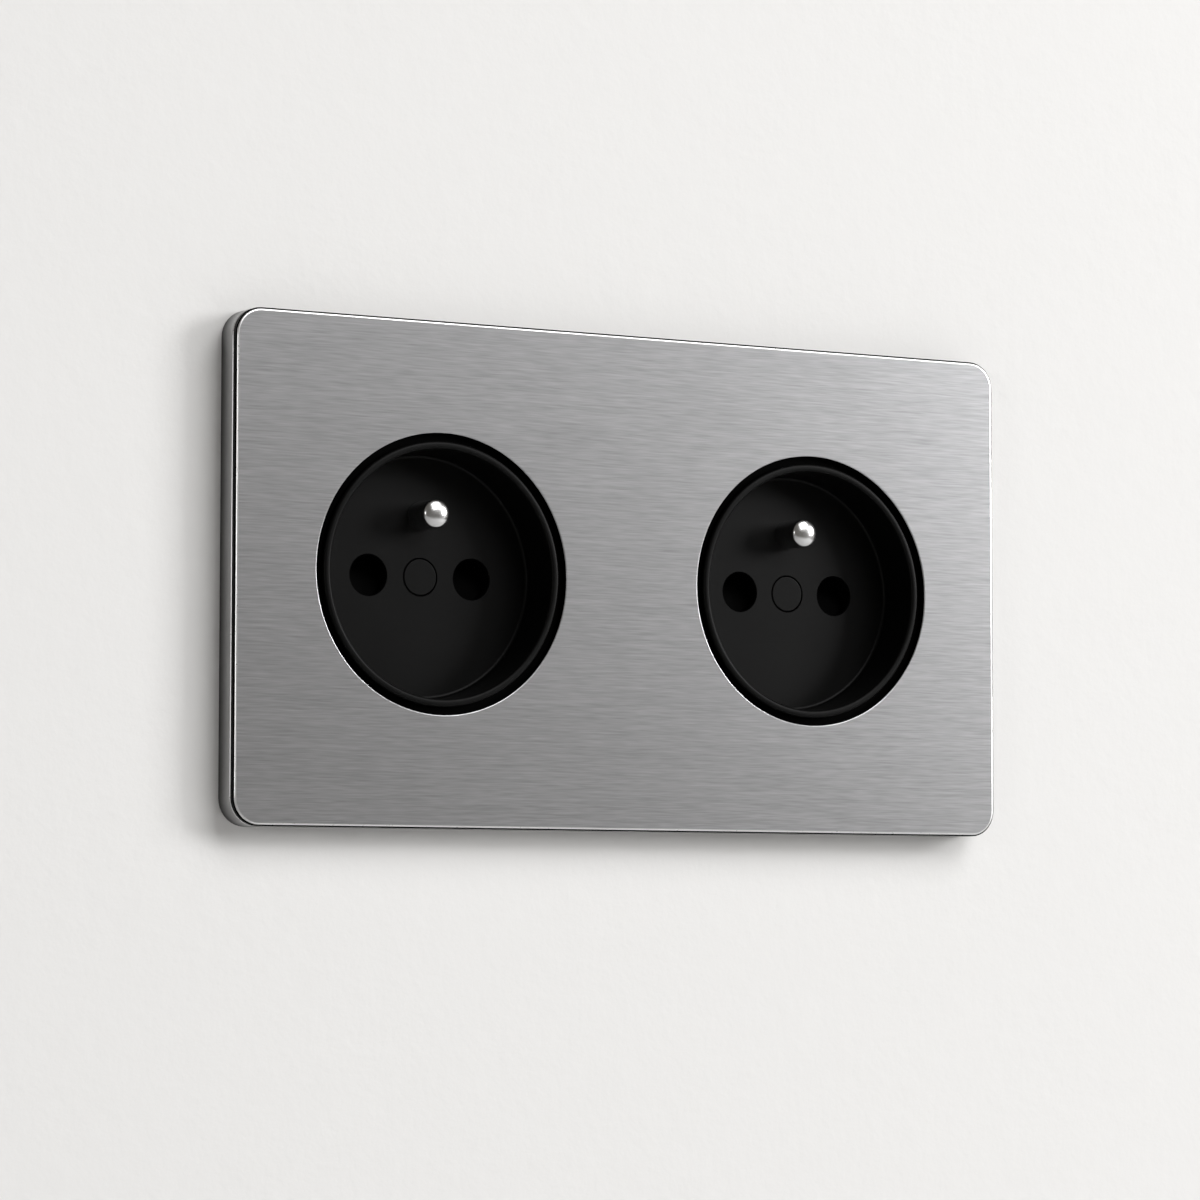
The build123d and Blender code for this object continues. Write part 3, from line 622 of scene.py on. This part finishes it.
nickel, tree, shader, add = new_material("nickel_plate")
place = add("ShaderNodeTexCoord").outputs["Object"]
haze = add("ShaderNodeTexNoise", {"Vector": place}, Scale=900, Detail=5)
gloss = add("ShaderNodeMapRange", {"Value": haze.outputs["Fac"]}, To_Min=0.2, To_Max=0.27)
tree.links.new(gloss.outputs[0], shader.inputs["Roughness"])
tone = add("ShaderNodeMapRange", {"Value": haze.outputs["Fac"]}, To_Min=0.55, To_Max=0.65)
tree.links.new(tone.outputs[0], shader.inputs["Base Color"])
shader.inputs["Metallic"].default_value = 1

for side, x in sockets:
    profile = np.concatenate([
        quarter(0, pin_end, pin_radius, pin_end - pin_dome, dome_steps),
        [(pin_radius, pin_step_height), (pin_step_radius, pin_step_height), (pin_step_radius, floor_back),
         (pin_shoulder_radius, floor_back), (pin_shoulder_radius, deck_front),
         (pin_shank_radius, deck_front), (pin_shank_radius, rivet_front), (rivet_radius, rivet_front)],
        quarter(rivet_radius, rivet_front, rivet_radius - rivet_round, rivet_back, steps=5, hollow=True),
        [(0, rivet_back)],
    ])
    pin_rows = turned_rows(profile, around, x, pin_z)
    pin = make_piece(f"{side}_plated_pin", [(pin_rows, False, True)], sharp=30)
    pin.data.materials.append(nickel)
    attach(pin, "socket")
    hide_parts(f"{side}_earth_pin")

# Caps: small moulded discs with a rounded edge, pressed into the floor's recesses over the
# centre screws, flush with the floor.
cap_radius = 2.95
cap_round = 0.1

for side, x in sockets:
    profile = np.concatenate([
        [(0, floor_height), (cap_radius - cap_round - guard, floor_height)],
        quarter(cap_radius - cap_round, floor_height, cap_radius, floor_height - cap_round, steps=4),
        [(cap_radius, floor_height - cap_thickness), (0, floor_height - cap_thickness)],
    ])
    cap_rows = turned_rows(profile, around, x)
    cap = make_piece(f"{side}_pressed_cap", [(cap_rows, False, True)], sharp=40)
    cap.data.materials.append(black)
    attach(cap, "socket")
    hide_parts(f"{side}_screw_cap")

# Behind the wall: zinc plated steel straps, moulded bases, covers and shutters, pressed brass
# contacts, brass terminals, and plated steel screws that hold them together.
zinc_colour = (0.66, 0.67, 0.66)
brass_colour = (0.78, 0.58, 0.28)
steel_colour = (0.72, 0.72, 0.7)


def plain_metal(name, colour, low, high):
    """Plated or bare metal: fine blotches move its roughness from low to high and its tone a little."""
    material, tree, shader, add = new_material(name)
    place = add("ShaderNodeTexCoord").outputs["Object"]
    blotch = add("ShaderNodeTexNoise", {"Vector": place}, Scale=420, Detail=6, Roughness=0.6)
    gloss = add("ShaderNodeMapRange", {"Value": blotch.outputs["Fac"]}, To_Min=low, To_Max=high)
    tree.links.new(gloss.outputs[0], shader.inputs["Roughness"])
    tint = add("ShaderNodeMix", {"Factor": blotch.outputs["Fac"]}, data_type="RGBA")
    tint.inputs["A"].default_value = (*[0.85 * c for c in colour], 1)
    tint.inputs["B"].default_value = (*colour, 1)
    tree.links.new(tint.outputs["Result"], shader.inputs["Base Color"])
    shader.inputs["Metallic"].default_value = 1
    return material


zinc = plain_metal("zinc_plate", zinc_colour, low=0.3, high=0.5)
brass = plain_metal("brass", brass_colour, low=0.22, high=0.4)
bright_steel = plain_metal("bright_steel", steel_colour, low=0.2, high=0.35)
base_grey = moulding("base_moulding", shade=0.055, roughness=0.5, grain_scale=1200)
# The shutters are black plastic, painted blacker than the other mouldings and nearly glossless, as painted
# shade seen through the line holes.
shutter_black_and_shade = moulding("shutter_moulding", shade=0.0008, roughness=0.6, specular=0.01)

for side in ("left", "right"):
    dress(f"{side}_strap", zinc)
    dress(f"{side}_contact_base", base_grey)
    dress(f"{side}_rear_cover", base_grey)
    dress(f"{side}_shutter", shutter_black_and_shade)
    for screws in ("base_screws", "cover_screws", "terminal_screws", "centre_screw"):
        dress(f"{side}_{screws}", bright_steel)
    for part in ("live_contact", "neutral_contact", "earth_bridge",
                 "live_terminal", "neutral_terminal", "earth_terminal"):
        dress(f"{side}_{part}", brass)

# Shutter springs: coils of fine steel wire between each shutter's bar and the seat on the base,
# their ends closed. Each coil is built at its part's length; the real spring shortens as the shutter goes
# down.
coil_radius = 1.35
wire_radius = 0.2
coil_turns = 5
steps_per_turn = 48
wire_sides = 12


def coil(low, high):
    """A tube along a helix: the wire's centre goes round by the angle a at a level that rises evenly
    with it, and the wire's section is wire_radius * (cos b * outward + sin b * upward)."""
    centre = (low + high) / 2
    a = np.linspace(0, 2 * np.pi * coil_turns, steps_per_turn * coil_turns + 1)[:, None]
    b = np.linspace(0, 2 * np.pi, wire_sides, endpoint=False)
    level = low.z + wire_radius + (high.z - low.z - 2 * wire_radius) * a / a[-1]
    reach = coil_radius + wire_radius * np.cos(b)
    tube = np.stack((
        centre.x + reach * np.cos(a), centre.y + reach * np.sin(a), level + wire_radius * np.sin(b)), -1)
    ends = np.broadcast_to(tube[[0, -1]].mean(1, keepdims=True), (2, len(b), 3))
    return np.concatenate((ends[:1], tube, ends[1:]))


for side in ("left", "right"):
    low, high = (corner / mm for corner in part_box(f"{side}_shutter_spring"))
    spring = make_piece(f"{side}_coil_spring", [(coil(low, high), False, True)], sharp=50)
    spring.data.materials.append(bright_steel)
    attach(spring, "socket")
    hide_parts(f"{side}_shutter_spring")
    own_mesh(spring)
